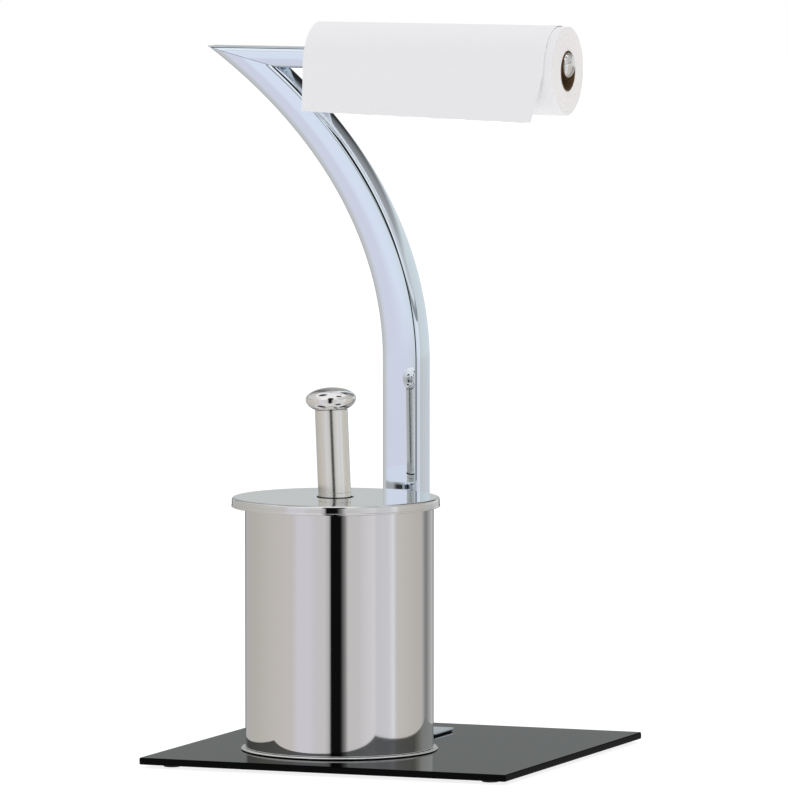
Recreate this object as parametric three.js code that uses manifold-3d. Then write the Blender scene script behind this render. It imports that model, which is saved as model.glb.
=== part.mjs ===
// Free-standing roll holder on a black glass base: a curved box-section post carries a level arm
// and a round spindle for a paper roll, and a lidded canister with a cleaning brush stands in
// front of the post.  Millimetres, +Z up, origin under the middle of the whole object.

import * as THREE from 'three';
import { mergeVertices } from 'three/addons/utils/BufferGeometryUtils.js';
import Module from 'manifold-3d';

const wasm = await Module();
wasm.setup();

// ---- driving dimensions --------------------------------------------------------------------

const GAP = 0.3;                  // clearance left between pieces that touch

const BASE_SIDE = 338;            // square glass base
const BASE_THICKNESS = 6;
const BASE_EDGE = 0.8;            // polished arris round the glass
const FOOT_RADIUS = 7.5;
const FOOT_HEIGHT = 3.1;
const FOOT_INSET = 22;            // foot centre to glass edge
const BASE_TOP = FOOT_HEIGHT + BASE_THICKNESS;

const POST_X = -23.3;             // middle of the post's lower end, from the middle of the glass
const POST_Y = 91;
const POST_WIDTH = 37;            // along X at the foot
const POST_DEPTH = 30;            // along Y, the same all the way up
const POST_TIP_WIDTH = 27;        // across the bend at BEND_END
const POST_TAPER_POWER = 1.3;
const TUBE_WALL = 1.5;
const CORNER_DEPTH = 4;           // corner rounding, measured along Y
const CORNER_FRACTION = 0.13;     // corner rounding across the post, as a part of its width
const CORNER_GROWTH = 0.11;       // added to that part by the end of the bend
const BEND_START_Z = BASE_TOP + 330;
const BEND_HALF_X = 621.8;        // half axes of the ellipse that the outer edge follows
const BEND_HALF_Z = 399.7;
const BEND_END = THREE.MathUtils.degToRad(45);

const ARM_TOP = BASE_TOP + 602;
const ARM_HEIGHT = 18;
const ARM_END_X = -103;           // right end of the arm
const ARM_CORNER = 4;
const MITRE_RUN = 70;           // how far the mitred joint runs along the arm
const ARM_CENTRE_Z = ARM_TOP - ARM_HEIGHT / 2;
const END_PLATE = 2;

const FLANGE_SIZE = [72, 48];     // foot plate under the post
const FLANGE_THICKNESS = 2;
const GASKET_THICKNESS = 0.6;
const BOLT_SPACING = 20;
const BOLT_RADIUS = 3;
const BOLT_HEAD_RADIUS = 6;
const BOLT_HEAD_HEIGHT = 1.7;
const WASHER_RADIUS = 8;
const WASHER_THICKNESS = 0.6;
const INSERT_HEIGHT = 20;

const SPINDLE_RADIUS = 11.1;
const SPINDLE_Z = BASE_TOP + 590.35;
const SPINDLE_END_X = 133;        // tip of the domed cap
const CAP_LENGTH = 12;
const ROLL_START_X = -97;
const ROLL_LENGTH = 225;
const ROLL_RADIUS = 39;
const CORE_INNER = 16.5;
const CORE_OUTER = 17.6;
const ROLL_Z = SPINDLE_Z - (CORE_INNER - SPINDLE_RADIUS - GAP);
const SHEET_START_X = -105.4;      // the loose ply lies a little to the left of the rest
const SHEET_THICKNESS = 0.5;
const SHEET_DROP_LEFT = 37.5;     // how far the loose end hangs below the roll's axis
const SHEET_DROP_RIGHT = 43.5;
const SHEET_FLARE = 3;            // how far its lower edge stands forward
const SHEET_INSET = 11;           // how far its lower right corner stands in from the roll's end

const CAN_X = -32.3;
const CAN_Y = -44.8;
const CAN_RADIUS = 81.7;
const CAN_WALL = 1;
const CAN_TOP = BASE_TOP + 218;
const CAN_LIP_RADIUS = 85.3;      // flat lip that the canister stands on
const CAN_LIP_THICKNESS = 1.6;
const CUP_RADIUS = 77;
const CUP_WALL = 1.6;
const CUP_HEIGHT = 195;

const LID_X = -35.7;
const LID_RADIUS = 90.1;
const LID_TOP = BASE_TOP + 219.5;
const LID_SKIRT = 8.1;
const LID_WALL = 1.1;
const LID_HOLE = 15.8;
const LID_EDGE = 2.4;

const HANDLE_X = -36.7;           // where the handle's axis passes the top of the lid
const HANDLE_LEAN = THREE.MathUtils.degToRad(2.4);
const HANDLE_RADIUS = 14.2;
const HANDLE_WALL = 1;
const KNOB_RADIUS = 21.8;
const KNOB_BOTTOM = 76;           // up the handle's axis from the top of the lid
const KNOB_TOP = 95;
const HANDLE_BELOW = 24;          // length of tube hanging below the lid's top
const ROD_RADIUS = 6;
const HEAD_TOP = -104;
const HEAD_BOTTOM = -206;
const BRISTLE_RADIUS = 41;

// ---- materials -----------------------------------------------------------------------------

const finish = (color, roughness, metalness) =>
  new THREE.MeshStandardMaterial({ color, roughness, metalness });
const blackGlass = () => finish(0x0b0b0c, 0.05, 0);
const chrome = () => finish(0xd9dce0, 0.06, 1);
const steel = () => finish(0xc8c5c0, 0.1, 1);
const boltSteel = () => finish(0xb0b0b0, 0.3, 1);
const rubber = () => finish(0x151515, 0.85, 0);
const whitePlastic = () => finish(0xeeeeea, 0.4, 0);
const blackPlastic = () => finish(0x1b1b1d, 0.45, 0);
const bristleFibre = () => finish(0xf2f2ef, 0.7, 0);
const paper = () => finish(0xf4f3f4, 0.95, 0);
const cardboard = () => finish(0x8a6a42, 0.9, 0);

// ---- making closed solids ------------------------------------------------------------------

// Keeps position only, merges shared corners, drops empty triangles and faces the shell outward.
function closed(geometry) {
  const bare = geometry.clone();
  bare.deleteAttribute('normal');
  bare.deleteAttribute('uv');
  const merged = mergeVertices(bare, 1e-4);
  const index = Array.from(merged.index.array);
  const p = merged.attributes.position;
  const a = new THREE.Vector3();
  const b = new THREE.Vector3();
  const c = new THREE.Vector3();
  const kept = [];
  let volume = 0;
  for (let i = 0; i < index.length; i += 3) {
    const [u, v, w] = index.slice(i, i + 3);
    if (u === v || v === w || w === u) continue;
    a.fromBufferAttribute(p, u);
    b.fromBufferAttribute(p, v);
    c.fromBufferAttribute(p, w);
    volume += a.dot(b.cross(c)) / 6;
    kept.push(u, v, w);
  }
  if (volume < 0) kept.reverse();
  merged.setIndex(kept);
  return merged;
}

function toManifold(geometry) {
  const g = closed(geometry);
  const vertProperties = new Float32Array(g.attributes.position.array);
  const triVerts = new Uint32Array(g.index.array);
  return new wasm.Manifold(new wasm.Mesh({ numProp: 3, vertProperties, triVerts }));
}

function fromManifold(solid) {
  const mesh = solid.getMesh();
  const g = new THREE.BufferGeometry();
  g.setAttribute('position', new THREE.BufferAttribute(new Float32Array(mesh.vertProperties), 3));
  g.setIndex(new THREE.BufferAttribute(new Uint32Array(mesh.triVerts), 1));
  return g;
}

// Takes every cutter away from the body.
const cut = (body, ...cutters) =>
  fromManifold(cutters.reduce((left, tool) => left.subtract(toManifold(tool)), toManifold(body)));

// Turns a profile of [radius, height] points round the Z axis.
function turned(profile, segments = 56) {
  const points = profile.map(([r, z]) => new THREE.Vector2(r, z));
  return new THREE.LatheGeometry(points, segments).rotateX(Math.PI / 2);
}

// A turned ring whose profile closes on itself.
const ring = (profile, segments = 56) => turned([...profile, profile[0]], segments);

// Points of a quarter-round from angle `from` to angle `to` about a centre in the profile.
function arcPoints(r, z, radius, from, to, steps = 4) {
  return Array.from({ length: steps + 1 }, (_, i) => {
    const angle = THREE.MathUtils.degToRad(from + ((to - from) * i) / steps);
    return [r + radius * Math.cos(angle), z + radius * Math.sin(angle)];
  });
}

function roundedRect(width, depth, radius) {
  const x = width / 2 - radius;
  const y = depth / 2 - radius;
  const shape = new THREE.Shape();
  shape.absarc(x, y, radius, 0, Math.PI / 2);
  shape.absarc(-x, y, radius, Math.PI / 2, Math.PI);
  shape.absarc(-x, -y, radius, Math.PI, 1.5 * Math.PI);
  shape.absarc(x, -y, radius, 1.5 * Math.PI, 2 * Math.PI);
  return shape;
}

// A flat plate from a shape, from height z upward.
const plate = (shape, z, thickness, curveSegments = 5) =>
  new THREE.ExtrudeGeometry(shape, { depth: thickness, bevelEnabled: false, curveSegments })
    .translate(0, 0, z);

function circleHole(x, y, radius) {
  const hole = new THREE.Path();
  hole.absarc(x, y, radius, 0, 2 * Math.PI, true);
  return hole;
}

// Skins a row of sections with the same number of points each, and closes both ends.
function loft(sections) {
  const count = sections[0].length;
  const positions = sections.flat().flatMap((p) => [p.x, p.y, p.z]);
  const index = [];
  for (let s = 0; s + 1 < sections.length; s++) {
    for (let i = 0; i < count; i++) {
      const a = s * count + i;
      const b = s * count + ((i + 1) % count);
      index.push(a, b, b + count, a, b + count, a + count);
    }
  }
  const last = (sections.length - 1) * count;
  for (let i = 1; i + 1 < count; i++) {
    index.push(0, i + 1, i);
    index.push(last, last + i, last + i + 1);
  }
  const g = new THREE.BufferGeometry();
  g.setAttribute('position', new THREE.Float32BufferAttribute(positions, 3));
  g.setIndex(index);
  return g;
}

// ---- glass base and feet -------------------------------------------------------------------

function glassBase() {
  const side = BASE_SIDE - 2 * BASE_EDGE;
  const shape = roundedRect(side, side, 1.2);
  for (const x of boltPlaces()) shape.holes.push(circleHole(x, POST_Y, BOLT_RADIUS + 1.2));
  return new THREE.ExtrudeGeometry(shape, {
    depth: BASE_THICKNESS - 2 * BASE_EDGE,
    bevelThickness: BASE_EDGE,
    bevelSize: BASE_EDGE,
    bevelSegments: 1,
    curveSegments: 8,
  }).translate(0, 0, FOOT_HEIGHT + BASE_EDGE);
}

function foot() {
  const profile = [[0, 0], [FOOT_RADIUS - 1, 0], [FOOT_RADIUS, 1], [FOOT_RADIUS, FOOT_HEIGHT - GAP]];
  return turned([...profile, [0, FOOT_HEIGHT - GAP]], 20);
}

// ---- curved post ---------------------------------------------------------------------------

// One section across the post, `inset` inside its outer skin.  `turn` is the angle round the
// bend's ellipse; a negative turn is a depth below the bend, in millimetres.
function postSection(turn, inset) {
  const angle = Math.max(turn, 0);
  const grown = angle / BEND_END;
  const sine = Math.sin(angle);
  const cosine = Math.cos(angle);
  const across = new THREE.Vector3(BEND_HALF_Z * cosine, 0, BEND_HALF_X * sine).normalize();
  const outer = new THREE.Vector3(
    POST_X - POST_WIDTH / 2 - BEND_HALF_X * (1 - cosine), 0,
    BEND_START_Z + BEND_HALF_Z * sine + Math.min(turn, 0));
  const width = POST_WIDTH + (POST_TIP_WIDTH - POST_WIDTH) * grown ** POST_TAPER_POWER;
  const cornerAcross = width * (CORNER_FRACTION + CORNER_GROWTH * grown) - inset;
  const cornerDeep = CORNER_DEPTH - inset;
  const middle = outer.addScaledVector(across, width / 2);
  const points = [];
  for (let corner = 0; corner < 4; corner++) {
    const signAcross = corner === 0 || corner === 3 ? 1 : -1;
    const signDeep = corner < 2 ? 1 : -1;
    for (let step = 0; step <= 4; step++) {
      const a = (corner * Math.PI) / 2 + (step * Math.PI) / 8;
      const u = signAcross * (width / 2 - inset - cornerAcross) + cornerAcross * Math.cos(a);
      const v = signDeep * (POST_DEPTH / 2 - inset - cornerDeep) + cornerDeep * Math.sin(a);
      const point = middle.clone().addScaledVector(across, u);
      point.y = POST_Y + v;
      points.push(point);
    }
  }
  return points;
}

const POST_BOTTOM = BASE_TOP + GASKET_THICKNESS + FLANGE_THICKNESS + 3 * GAP;

function postBar(inset, bottom) {
  const turns = [bottom - BEND_START_Z, (bottom - BEND_START_Z) / 2, 0];
  const steps = 18;
  for (let i = 1; i <= steps; i++) turns.push((i / steps) * BEND_END * 1.12);
  return loft(turns.map((turn) => postSection(turn, inset)));
}

// Where the outer edge of the bend meets the height of the arm's top face.
const TIP_TURN = Math.asin((ARM_TOP - BEND_START_Z) / BEND_HALF_Z);
const TIP_X = POST_X - POST_WIDTH / 2 - BEND_HALF_X * (1 - Math.cos(TIP_TURN));

// A big block on the upper (+1) or lower (-1) side of the mitred joint's plane.
function mitreBlock(side) {
  const size = 400;
  const slope = Math.atan2(-ARM_HEIGHT, MITRE_RUN);
  return new THREE.BoxGeometry(size, size, size)
    .translate(0, 0, side * (size / 2 - GAP / 2))
    .rotateY(-slope)
    .translate(TIP_X, POST_Y, ARM_TOP);
}

function curvedPost() {
  return cut(postBar(0, POST_BOTTOM), postBar(TUBE_WALL, POST_BOTTOM - 5), mitreBlock(1));
}

// ---- arm and spindle -----------------------------------------------------------------------

// A bar along X with a rounded section, between two X places.
function armBar(inset, from, to) {
  const shape = roundedRect(POST_DEPTH - 2 * inset, ARM_HEIGHT - 2 * inset, ARM_CORNER - inset);
  return new THREE.ExtrudeGeometry(shape, { depth: to - from, bevelEnabled: false, curveSegments: 4 })
    .rotateX(Math.PI / 2)
    .rotateZ(Math.PI / 2)
    .translate(from, POST_Y, ARM_CENTRE_Z);
}

function arm() {
  const start = TIP_X - 30;
  return cut(armBar(0, start, ARM_END_X), armBar(TUBE_WALL, start - 5, ARM_END_X + 5), mitreBlock(-1));
}

// Closes the arm, and reaches a little below it, because the spindle sits lower than the arm.
function armEndPlate() {
  const low = SPINDLE_Z - SPINDLE_RADIUS - 1;
  const shape = roundedRect(POST_DEPTH, ARM_TOP - low, ARM_CORNER);
  return new THREE.ExtrudeGeometry(shape, { depth: END_PLATE, bevelEnabled: false, curveSegments: 4 })
    .rotateX(Math.PI / 2)
    .rotateZ(Math.PI / 2)
    .translate(ARM_END_X + GAP, POST_Y, (ARM_TOP + low) / 2);
}

// Turns a Z-axis solid to run along +X on the spindle's line.
const alongX = (geometry, x, z) => geometry.rotateY(Math.PI / 2).translate(x, POST_Y, z);

const SPINDLE_START_X = ARM_END_X + END_PLATE + 2 * GAP;
const CAP_START_X = SPINDLE_END_X - CAP_LENGTH;

function spindleTube() {
  const length = CAP_START_X - GAP - SPINDLE_START_X;
  const inner = SPINDLE_RADIUS - TUBE_WALL;
  const profile = [[SPINDLE_RADIUS, 0], [SPINDLE_RADIUS, length], [inner, length], [inner, 0]];
  return alongX(ring(profile, 32), SPINDLE_START_X, SPINDLE_Z);
}

// The cap's spigot sits in the tube; its dome is the rounded tip.
function spindleCap() {
  const spigot = SPINDLE_RADIUS - TUBE_WALL - GAP;
  const straight = CAP_LENGTH - 6;
  const dome = arcPoints(0, 0, 1, 0, 90, 6)
    .map(([r, z]) => [r * SPINDLE_RADIUS, straight + z * 6]);
  const profile = [[0, -8], [spigot, -8], [spigot, 0], [SPINDLE_RADIUS, 0], ...dome];
  return alongX(turned(profile, 32), CAP_START_X, SPINDLE_Z);
}

// ---- how the post is fixed to the glass ----------------------------------------------------

const boltPlaces = () => [POST_X - BOLT_SPACING / 2, POST_X + BOLT_SPACING / 2];

function drilledPlate(width, depth, corner, z, thickness) {
  const shape = roundedRect(width, depth, corner);
  for (const x of boltPlaces()) shape.holes.push(circleHole(x - POST_X, 0, BOLT_RADIUS + GAP));
  return plate(shape, z, thickness, 6).translate(POST_X, POST_Y, 0);
}

const gasket = () =>
  drilledPlate(FLANGE_SIZE[0] - 2, FLANGE_SIZE[1] - 2, 2, BASE_TOP + GAP, GASKET_THICKNESS);

const footPlate = () =>
  drilledPlate(...FLANGE_SIZE, 2, BASE_TOP + GASKET_THICKNESS + 2 * GAP, FLANGE_THICKNESS);

function postInsert() {
  const width = POST_WIDTH - 2 * (TUBE_WALL + GAP);
  const depth = POST_DEPTH - 2 * (TUBE_WALL + GAP);
  return drilledPlate(width, depth, 3, POST_BOTTOM, INSERT_HEIGHT);
}

function fixingBolt(x) {
  const seat = FOOT_HEIGHT - WASHER_THICKNESS - 2 * GAP;
  const low = seat - BOLT_HEAD_HEIGHT;
  const tip = POST_BOTTOM + INSERT_HEIGHT - 2;
  const profile = [
    [0, low], [BOLT_HEAD_RADIUS - 0.6, low], [BOLT_HEAD_RADIUS, low + 0.6],
    [BOLT_HEAD_RADIUS, seat], [BOLT_RADIUS, seat], [BOLT_RADIUS, tip - 0.8],
    [BOLT_RADIUS - 0.8, tip], [0, tip],
  ];
  return turned(profile, 20).translate(x, POST_Y, 0);
}

function washer(x) {
  const z = FOOT_HEIGHT - WASHER_THICKNESS - GAP;
  const shape = new THREE.Shape().absarc(0, 0, WASHER_RADIUS - GAP, 0, 2 * Math.PI);
  shape.holes.push(circleHole(0, 0, BOLT_RADIUS + GAP));
  return plate(shape, z, WASHER_THICKNESS, 12).translate(x, POST_Y, 0);
}

// ---- canister ------------------------------------------------------------------------------

const CAN_BOTTOM = BASE_TOP + GAP;

// Thin wall with a rolled rim at the top and a narrow shelf turned in at the bottom.
function canisterShell() {
  const inner = CAN_RADIUS - CAN_WALL;
  const rim = CAN_TOP - 1.2;
  const low = CAN_BOTTOM + CAN_LIP_THICKNESS + GAP;
  const profile = [
    [CAN_RADIUS, low], ...arcPoints(CAN_RADIUS - 0.9, rim, 1.2, -40, 180, 5),
    [inner - 1, rim - 1], [inner, rim - 2], [inner, low + CAN_WALL],
    [inner - 5, low + CAN_WALL], [inner - 5, low],
  ];
  return ring(profile, 48).translate(CAN_X, CAN_Y, 0);
}

function canisterFloor() {
  const low = CAN_BOTTOM + CAN_LIP_THICKNESS + 2 * GAP + CAN_WALL;
  const radius = CAN_RADIUS - CAN_WALL - GAP;
  return turned([[0, low], [radius, low], [radius, low + 1], [0, low + 1]], 48)
    .translate(CAN_X, CAN_Y, 0);
}

function canisterLip() {
  const half = CAN_LIP_THICKNESS / 2;
  const profile = [
    [CAN_RADIUS - 7, CAN_BOTTOM],
    ...arcPoints(CAN_LIP_RADIUS - half, CAN_BOTTOM + half, half, -90, 90, 4),
    [CAN_RADIUS - 7, CAN_BOTTOM + CAN_LIP_THICKNESS],
  ];
  return ring(profile, 48).translate(CAN_X, CAN_Y, 0);
}

const CUP_BOTTOM = CAN_BOTTOM + CAN_LIP_THICKNESS + 3 * GAP + CAN_WALL + 1;

function innerCup() {
  const inner = CUP_RADIUS - CUP_WALL;
  const top = CUP_BOTTOM + CUP_HEIGHT;
  const profile = [
    [0, CUP_BOTTOM], [CUP_RADIUS - 3, CUP_BOTTOM], [CUP_RADIUS - 1, CUP_BOTTOM + 3],
    [CUP_RADIUS, top - 2], [CUP_RADIUS + 1.6, top - 2], [CUP_RADIUS + 1.6, top],
    [inner, top], [inner - 1, CUP_BOTTOM + 4], [inner - 3, CUP_BOTTOM + CUP_WALL],
    [0, CUP_BOTTOM + CUP_WALL],
  ];
  return turned(profile, 36).translate(CAN_X, CAN_Y, 0);
}

// ---- lid -----------------------------------------------------------------------------------

function lid() {
  const skirt = LID_TOP - LID_SKIRT;
  const inner = LID_RADIUS - LID_WALL;
  const profile = [
    [LID_HOLE, LID_TOP - LID_WALL], [LID_HOLE, LID_TOP],
    ...arcPoints(LID_RADIUS - LID_EDGE, LID_TOP - LID_EDGE, LID_EDGE, 90, 0, 4),
    [LID_RADIUS, skirt], [inner, skirt],
    ...arcPoints(LID_RADIUS - LID_EDGE, LID_TOP - LID_EDGE, LID_EDGE - LID_WALL, 0, 90, 3),
  ];
  return ring(profile, 48).translate(LID_X, CAN_Y, 0);
}

// Plastic ring under the lid that drops inside the canister's rim and centres the lid.
function lidRing() {
  const top = LID_TOP - LID_WALL - GAP;
  const profile = [[70, top - 7], [74, top - 7], [75, top - 1.6], [75, top], [70, top]];
  return ring(profile, 36).translate(LID_X, CAN_Y, 0);
}

// ---- brush ---------------------------------------------------------------------------------

// Pieces of the brush are turned about Z with zero at the lid's top, then lean with the handle.
const leaning = (geometry) => geometry.rotateY(-HANDLE_LEAN).translate(HANDLE_X, CAN_Y, LID_TOP);

function handleTube() {
  const top = KNOB_BOTTOM - GAP;
  const inner = HANDLE_RADIUS - HANDLE_WALL;
  const profile = [[HANDLE_RADIUS, -HANDLE_BELOW], [HANDLE_RADIUS, top], [inner, top], [inner, -HANDLE_BELOW]];
  return leaning(ring(profile, 40));
}

// Mushroom cap: a flattened round top over a short neck that plugs the tube.
function handleKnob() {
  const equator = KNOB_BOTTOM + 0.48 * (KNOB_TOP - KNOB_BOTTOM);
  const upper = arcPoints(0, 0, 1, 0, 90, 6)
    .map(([r, z]) => [KNOB_RADIUS * r, equator + (KNOB_TOP - equator) * z]);
  const lower = arcPoints(0, 0, 1, -52, -8, 3)
    .map(([r, z]) => [KNOB_RADIUS * r, equator + (equator - KNOB_BOTTOM) * z * 1.27]);
  const neck = HANDLE_RADIUS - HANDLE_WALL - GAP;
  const start = lower[0][1];
  return leaning(turned([[0, start - 9], [neck, start - 9], [neck, start], ...lower, ...upper], 32));
}

// Plastic plug that closes the lower end of the tube and grips the rod.
function handlePlug() {
  const inner = HANDLE_RADIUS - HANDLE_WALL - GAP;
  const top = -HANDLE_BELOW + 14;
  const low = -HANDLE_BELOW - GAP;
  const bore = ROD_RADIUS + GAP;
  const profile = [
    [bore, low - 6], [ROD_RADIUS + 3, low - 6], [HANDLE_RADIUS - 1, low - 1], [HANDLE_RADIUS - 1, low],
    [inner, low], [inner, top], [bore, top],
  ];
  return leaning(ring(profile, 32));
}

function brushRod() {
  const low = HEAD_TOP - 14;
  const top = -HANDLE_BELOW + 12;
  return leaning(turned([[0, low], [ROD_RADIUS, low], [ROD_RADIUS, top], [0, top]], 24));
}

// Plastic stock that holds the bristles, with a socket for the rod.
function brushStock() {
  const stock = 9;
  const profile = [
    [0, HEAD_BOTTOM + 30], [stock - 2, HEAD_BOTTOM + 31], [stock, HEAD_BOTTOM + 34],
    [stock, HEAD_TOP], [ROD_RADIUS + GAP, HEAD_TOP], [ROD_RADIUS + GAP, HEAD_TOP - 14 - GAP],
    [0, HEAD_TOP - 14 - GAP],
  ];
  return leaning(turned(profile, 24));
}

// Outer envelope of the bristle tufts: a round-ended barrel with a bore for the stock.
function bristles() {
  const bore = 9 + GAP;
  const top = HEAD_TOP - 8;
  const profile = [
    [0, HEAD_BOTTOM], [18, HEAD_BOTTOM + 1], [32, HEAD_BOTTOM + 8], [BRISTLE_RADIUS - 2, HEAD_BOTTOM + 20],
    [BRISTLE_RADIUS, HEAD_BOTTOM + 34], [BRISTLE_RADIUS, top - 12], [BRISTLE_RADIUS - 3, top],
    [bore, top], [bore, HEAD_BOTTOM + 30 - GAP], [0, HEAD_BOTTOM + 30 - GAP],
  ];
  return leaning(turned(profile, 32));
}

// ---- paper roll ----------------------------------------------------------------------------

function rollTube(inner, outer, edge, segments) {
  const profile = [
    [inner, 0], [outer - edge, 0], [outer, edge], [outer, ROLL_LENGTH - edge],
    [outer - edge, ROLL_LENGTH], [inner, ROLL_LENGTH],
  ];
  return alongX(ring(profile, segments), ROLL_START_X, ROLL_Z);
}

const cardboardCore = () => rollTube(CORE_INNER, CORE_OUTER, 0.3, 40);
const paperRoll = () => rollTube(CORE_OUTER + GAP, ROLL_RADIUS, 1, 56);

// The outermost ply: it lies over the back and top of the roll and hangs down in front.
function looseSheet() {
  const inner = ROLL_RADIUS + GAP;
  const outer = inner + SHEET_THICKNESS;
  const low = -Math.max(SHEET_DROP_LEFT, SHEET_DROP_RIGHT);
  const shape = new THREE.Shape();
  shape.absarc(0, 0, outer, 0, Math.PI);
  shape.lineTo(-outer - SHEET_FLARE, low);
  shape.lineTo(-outer - SHEET_FLARE + SHEET_THICKNESS, low);
  shape.lineTo(-inner, 0);
  shape.absarc(0, 0, inner, Math.PI, 0, true);
  const ply = new THREE.ExtrudeGeometry(shape, {
    depth: ROLL_LENGTH, bevelEnabled: false, curveSegments: 24,
  }).rotateX(Math.PI / 2).rotateZ(Math.PI / 2).translate(SHEET_START_X, POST_Y, ROLL_Z);
  return cut(ply, sheetTrim());
}

// Wedges that slant the loose end's lower edge and its right-hand edge.
function sheetTrim() {
  const left = SHEET_START_X - 5;
  const right = SHEET_START_X + ROLL_LENGTH + 5;
  const outline = new THREE.Shape();
  outline.moveTo(left, -SHEET_DROP_LEFT);
  outline.lineTo(right - 5 - SHEET_INSET, -SHEET_DROP_RIGHT);
  outline.lineTo(right - 5, -1);
  outline.lineTo(right, -1);
  outline.lineTo(right, -90);
  outline.lineTo(left, -90);
  return new THREE.ExtrudeGeometry(outline, { depth: 20, bevelEnabled: false })
    .rotateX(Math.PI / 2)
    .translate(0, POST_Y - ROLL_RADIUS + 8, ROLL_Z);
}

// ---- assembly ------------------------------------------------------------------------------

const holder = new THREE.Group();

// The tip of the post overhangs the glass, so the middle of the whole object is off the glass's.
holder.position.x = -(TIP_X + BASE_SIDE / 2) / 2;

function add(name, geometry, material) {
  const mesh = new THREE.Mesh(closed(geometry), material);
  mesh.name = name;
  holder.add(mesh);
  return mesh;
}

add('glass_base', glassBase(), blackGlass());
for (const [row, sy] of [['front', -1], ['rear', 1]]) {
  for (const [side, sx] of [['left', -1], ['right', 1]]) {
    const place = BASE_SIDE / 2 - FOOT_INSET;
    add(`rubber_foot_${row}_${side}`, foot(), rubber()).position.set(sx * place, sy * place, 0);
  }
}
add('foot_plate_gasket', gasket(), rubber());
add('post_foot_plate', footPlate(), chrome());
add('post_insert_block', postInsert(), boltSteel());
for (const [side, index] of [['left', 0], ['right', 1]]) {
  add(`fixing_bolt_${side}`, fixingBolt(boltPlaces()[index]), boltSteel());
  add(`fixing_washer_${side}`, washer(boltPlaces()[index]), boltSteel());
}
add('curved_post', curvedPost(), chrome());
add('arm', arm(), chrome());
add('arm_end_plate', armEndPlate(), chrome());
add('spindle_tube', spindleTube(), chrome());
add('spindle_end_cap', spindleCap(), chrome());
add('canister_shell', canisterShell(), steel());
add('canister_floor', canisterFloor(), steel());
add('canister_lip', canisterLip(), steel());
add('inner_cup', innerCup(), blackPlastic());
add('lid', lid(), steel());
add('lid_locating_ring', lidRing(), blackPlastic());
add('handle_tube', handleTube(), chrome());
add('handle_knob', handleKnob(), chrome());
add('handle_plug', handlePlug(), blackPlastic());
add('brush_rod', brushRod(), whitePlastic());
add('brush_stock', brushStock(), whitePlastic());
add('bristles', bristles(), bristleFibre());
add('cardboard_core', cardboardCore(), cardboard());
add('paper_roll', paperRoll(), paper());
add('loose_sheet', looseSheet(), paper());

export default holder;
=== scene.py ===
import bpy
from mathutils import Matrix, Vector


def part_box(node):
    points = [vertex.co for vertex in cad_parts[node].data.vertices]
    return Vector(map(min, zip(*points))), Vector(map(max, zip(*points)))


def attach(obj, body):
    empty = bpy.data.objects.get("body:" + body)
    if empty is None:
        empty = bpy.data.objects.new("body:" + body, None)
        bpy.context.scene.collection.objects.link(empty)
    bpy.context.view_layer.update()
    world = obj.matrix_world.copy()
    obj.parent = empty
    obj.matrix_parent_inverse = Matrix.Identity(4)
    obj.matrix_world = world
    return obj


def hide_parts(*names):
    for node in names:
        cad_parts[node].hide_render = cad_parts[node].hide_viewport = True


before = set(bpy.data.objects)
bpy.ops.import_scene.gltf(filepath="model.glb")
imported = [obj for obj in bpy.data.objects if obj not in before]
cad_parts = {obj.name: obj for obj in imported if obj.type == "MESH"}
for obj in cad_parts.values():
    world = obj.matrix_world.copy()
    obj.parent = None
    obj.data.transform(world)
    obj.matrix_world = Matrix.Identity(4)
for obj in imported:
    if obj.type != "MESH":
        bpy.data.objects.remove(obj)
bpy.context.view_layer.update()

import math

import bmesh
import bpy
import numpy as np
from mathutils import Vector

# ---- camera ----------------------------------------------------------------------------------
# A long lens a little above the lid, turned to the right of the holder, so the canister stands in
# front of the post and the right end of the roll shows.


def scene_object(name, data):
    """Puts a camera, lamp or mesh into the scene as an object at the origin."""
    made = bpy.data.objects.new(name, data)
    bpy.context.scene.collection.objects.link(made)
    return made


VIEW_TURN = math.radians(21.48)
VIEW_DIP = math.radians(4.76)
VIEW_DISTANCE = 8.36
aim = Vector((0.08688, -0.169, 0.32551))
to_camera = Vector((
    math.sin(VIEW_TURN) * math.cos(VIEW_DIP),
    -math.cos(VIEW_TURN) * math.cos(VIEW_DIP),
    math.sin(VIEW_DIP),
))
camera_data = bpy.data.cameras.new("view_camera")
camera_data.lens = 442.6
camera_data.sensor_width = 36
camera_data.clip_start = 0.5
camera_data.clip_end = 80
camera = scene_object("view_camera", camera_data)
camera.location = aim + to_camera * VIEW_DISTANCE
camera.rotation_euler = (-to_camera).to_track_quat("-Z", "Y").to_euler()
bpy.context.scene.camera = camera
bpy.context.scene.view_settings.view_transform = "Standard"

# ---- studio ----------------------------------------------------------------------------------
# A soft white studio. Polished metal and glass mirror a sweep with a narrow black flag beside the
# camera, and above it a grey wall, a canopy and lamps; matt pieces get the same light all round.


def node(tree, kind, inputs=None, **settings):
    """One shader node: settings are its properties, inputs its sockets by name or number."""
    made = tree.nodes.new("ShaderNode" + kind)
    for key, value in settings.items():
        setattr(made, key, value)
    for key, value in (inputs or {}).items():
        if isinstance(value, bpy.types.NodeSocket):
            tree.links.new(value, made.inputs[key])
        else:
            made.inputs[key].default_value = value
    return made


def ramp(tree, factor, stops):
    """A colour ramp with its stops given as (place, colour or grey)."""
    made = node(tree, "ValToRGB", {"Fac": factor})
    marks = made.color_ramp.elements
    while len(marks) < len(stops):
        marks.new(0.5)
    for mark, (place, colour) in zip(marks, sorted(stops)):
        mark.position = place
        mark.color = (*colour, 1) if isinstance(colour, tuple) else (colour, colour, colour, 1)
    return made.outputs["Color"]


def maths(tree, operation, first, second=0.5):
    """One maths node, as a socket."""
    return node(tree, "Math", {0: first, 1: second}, operation=operation).outputs[0]


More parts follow.
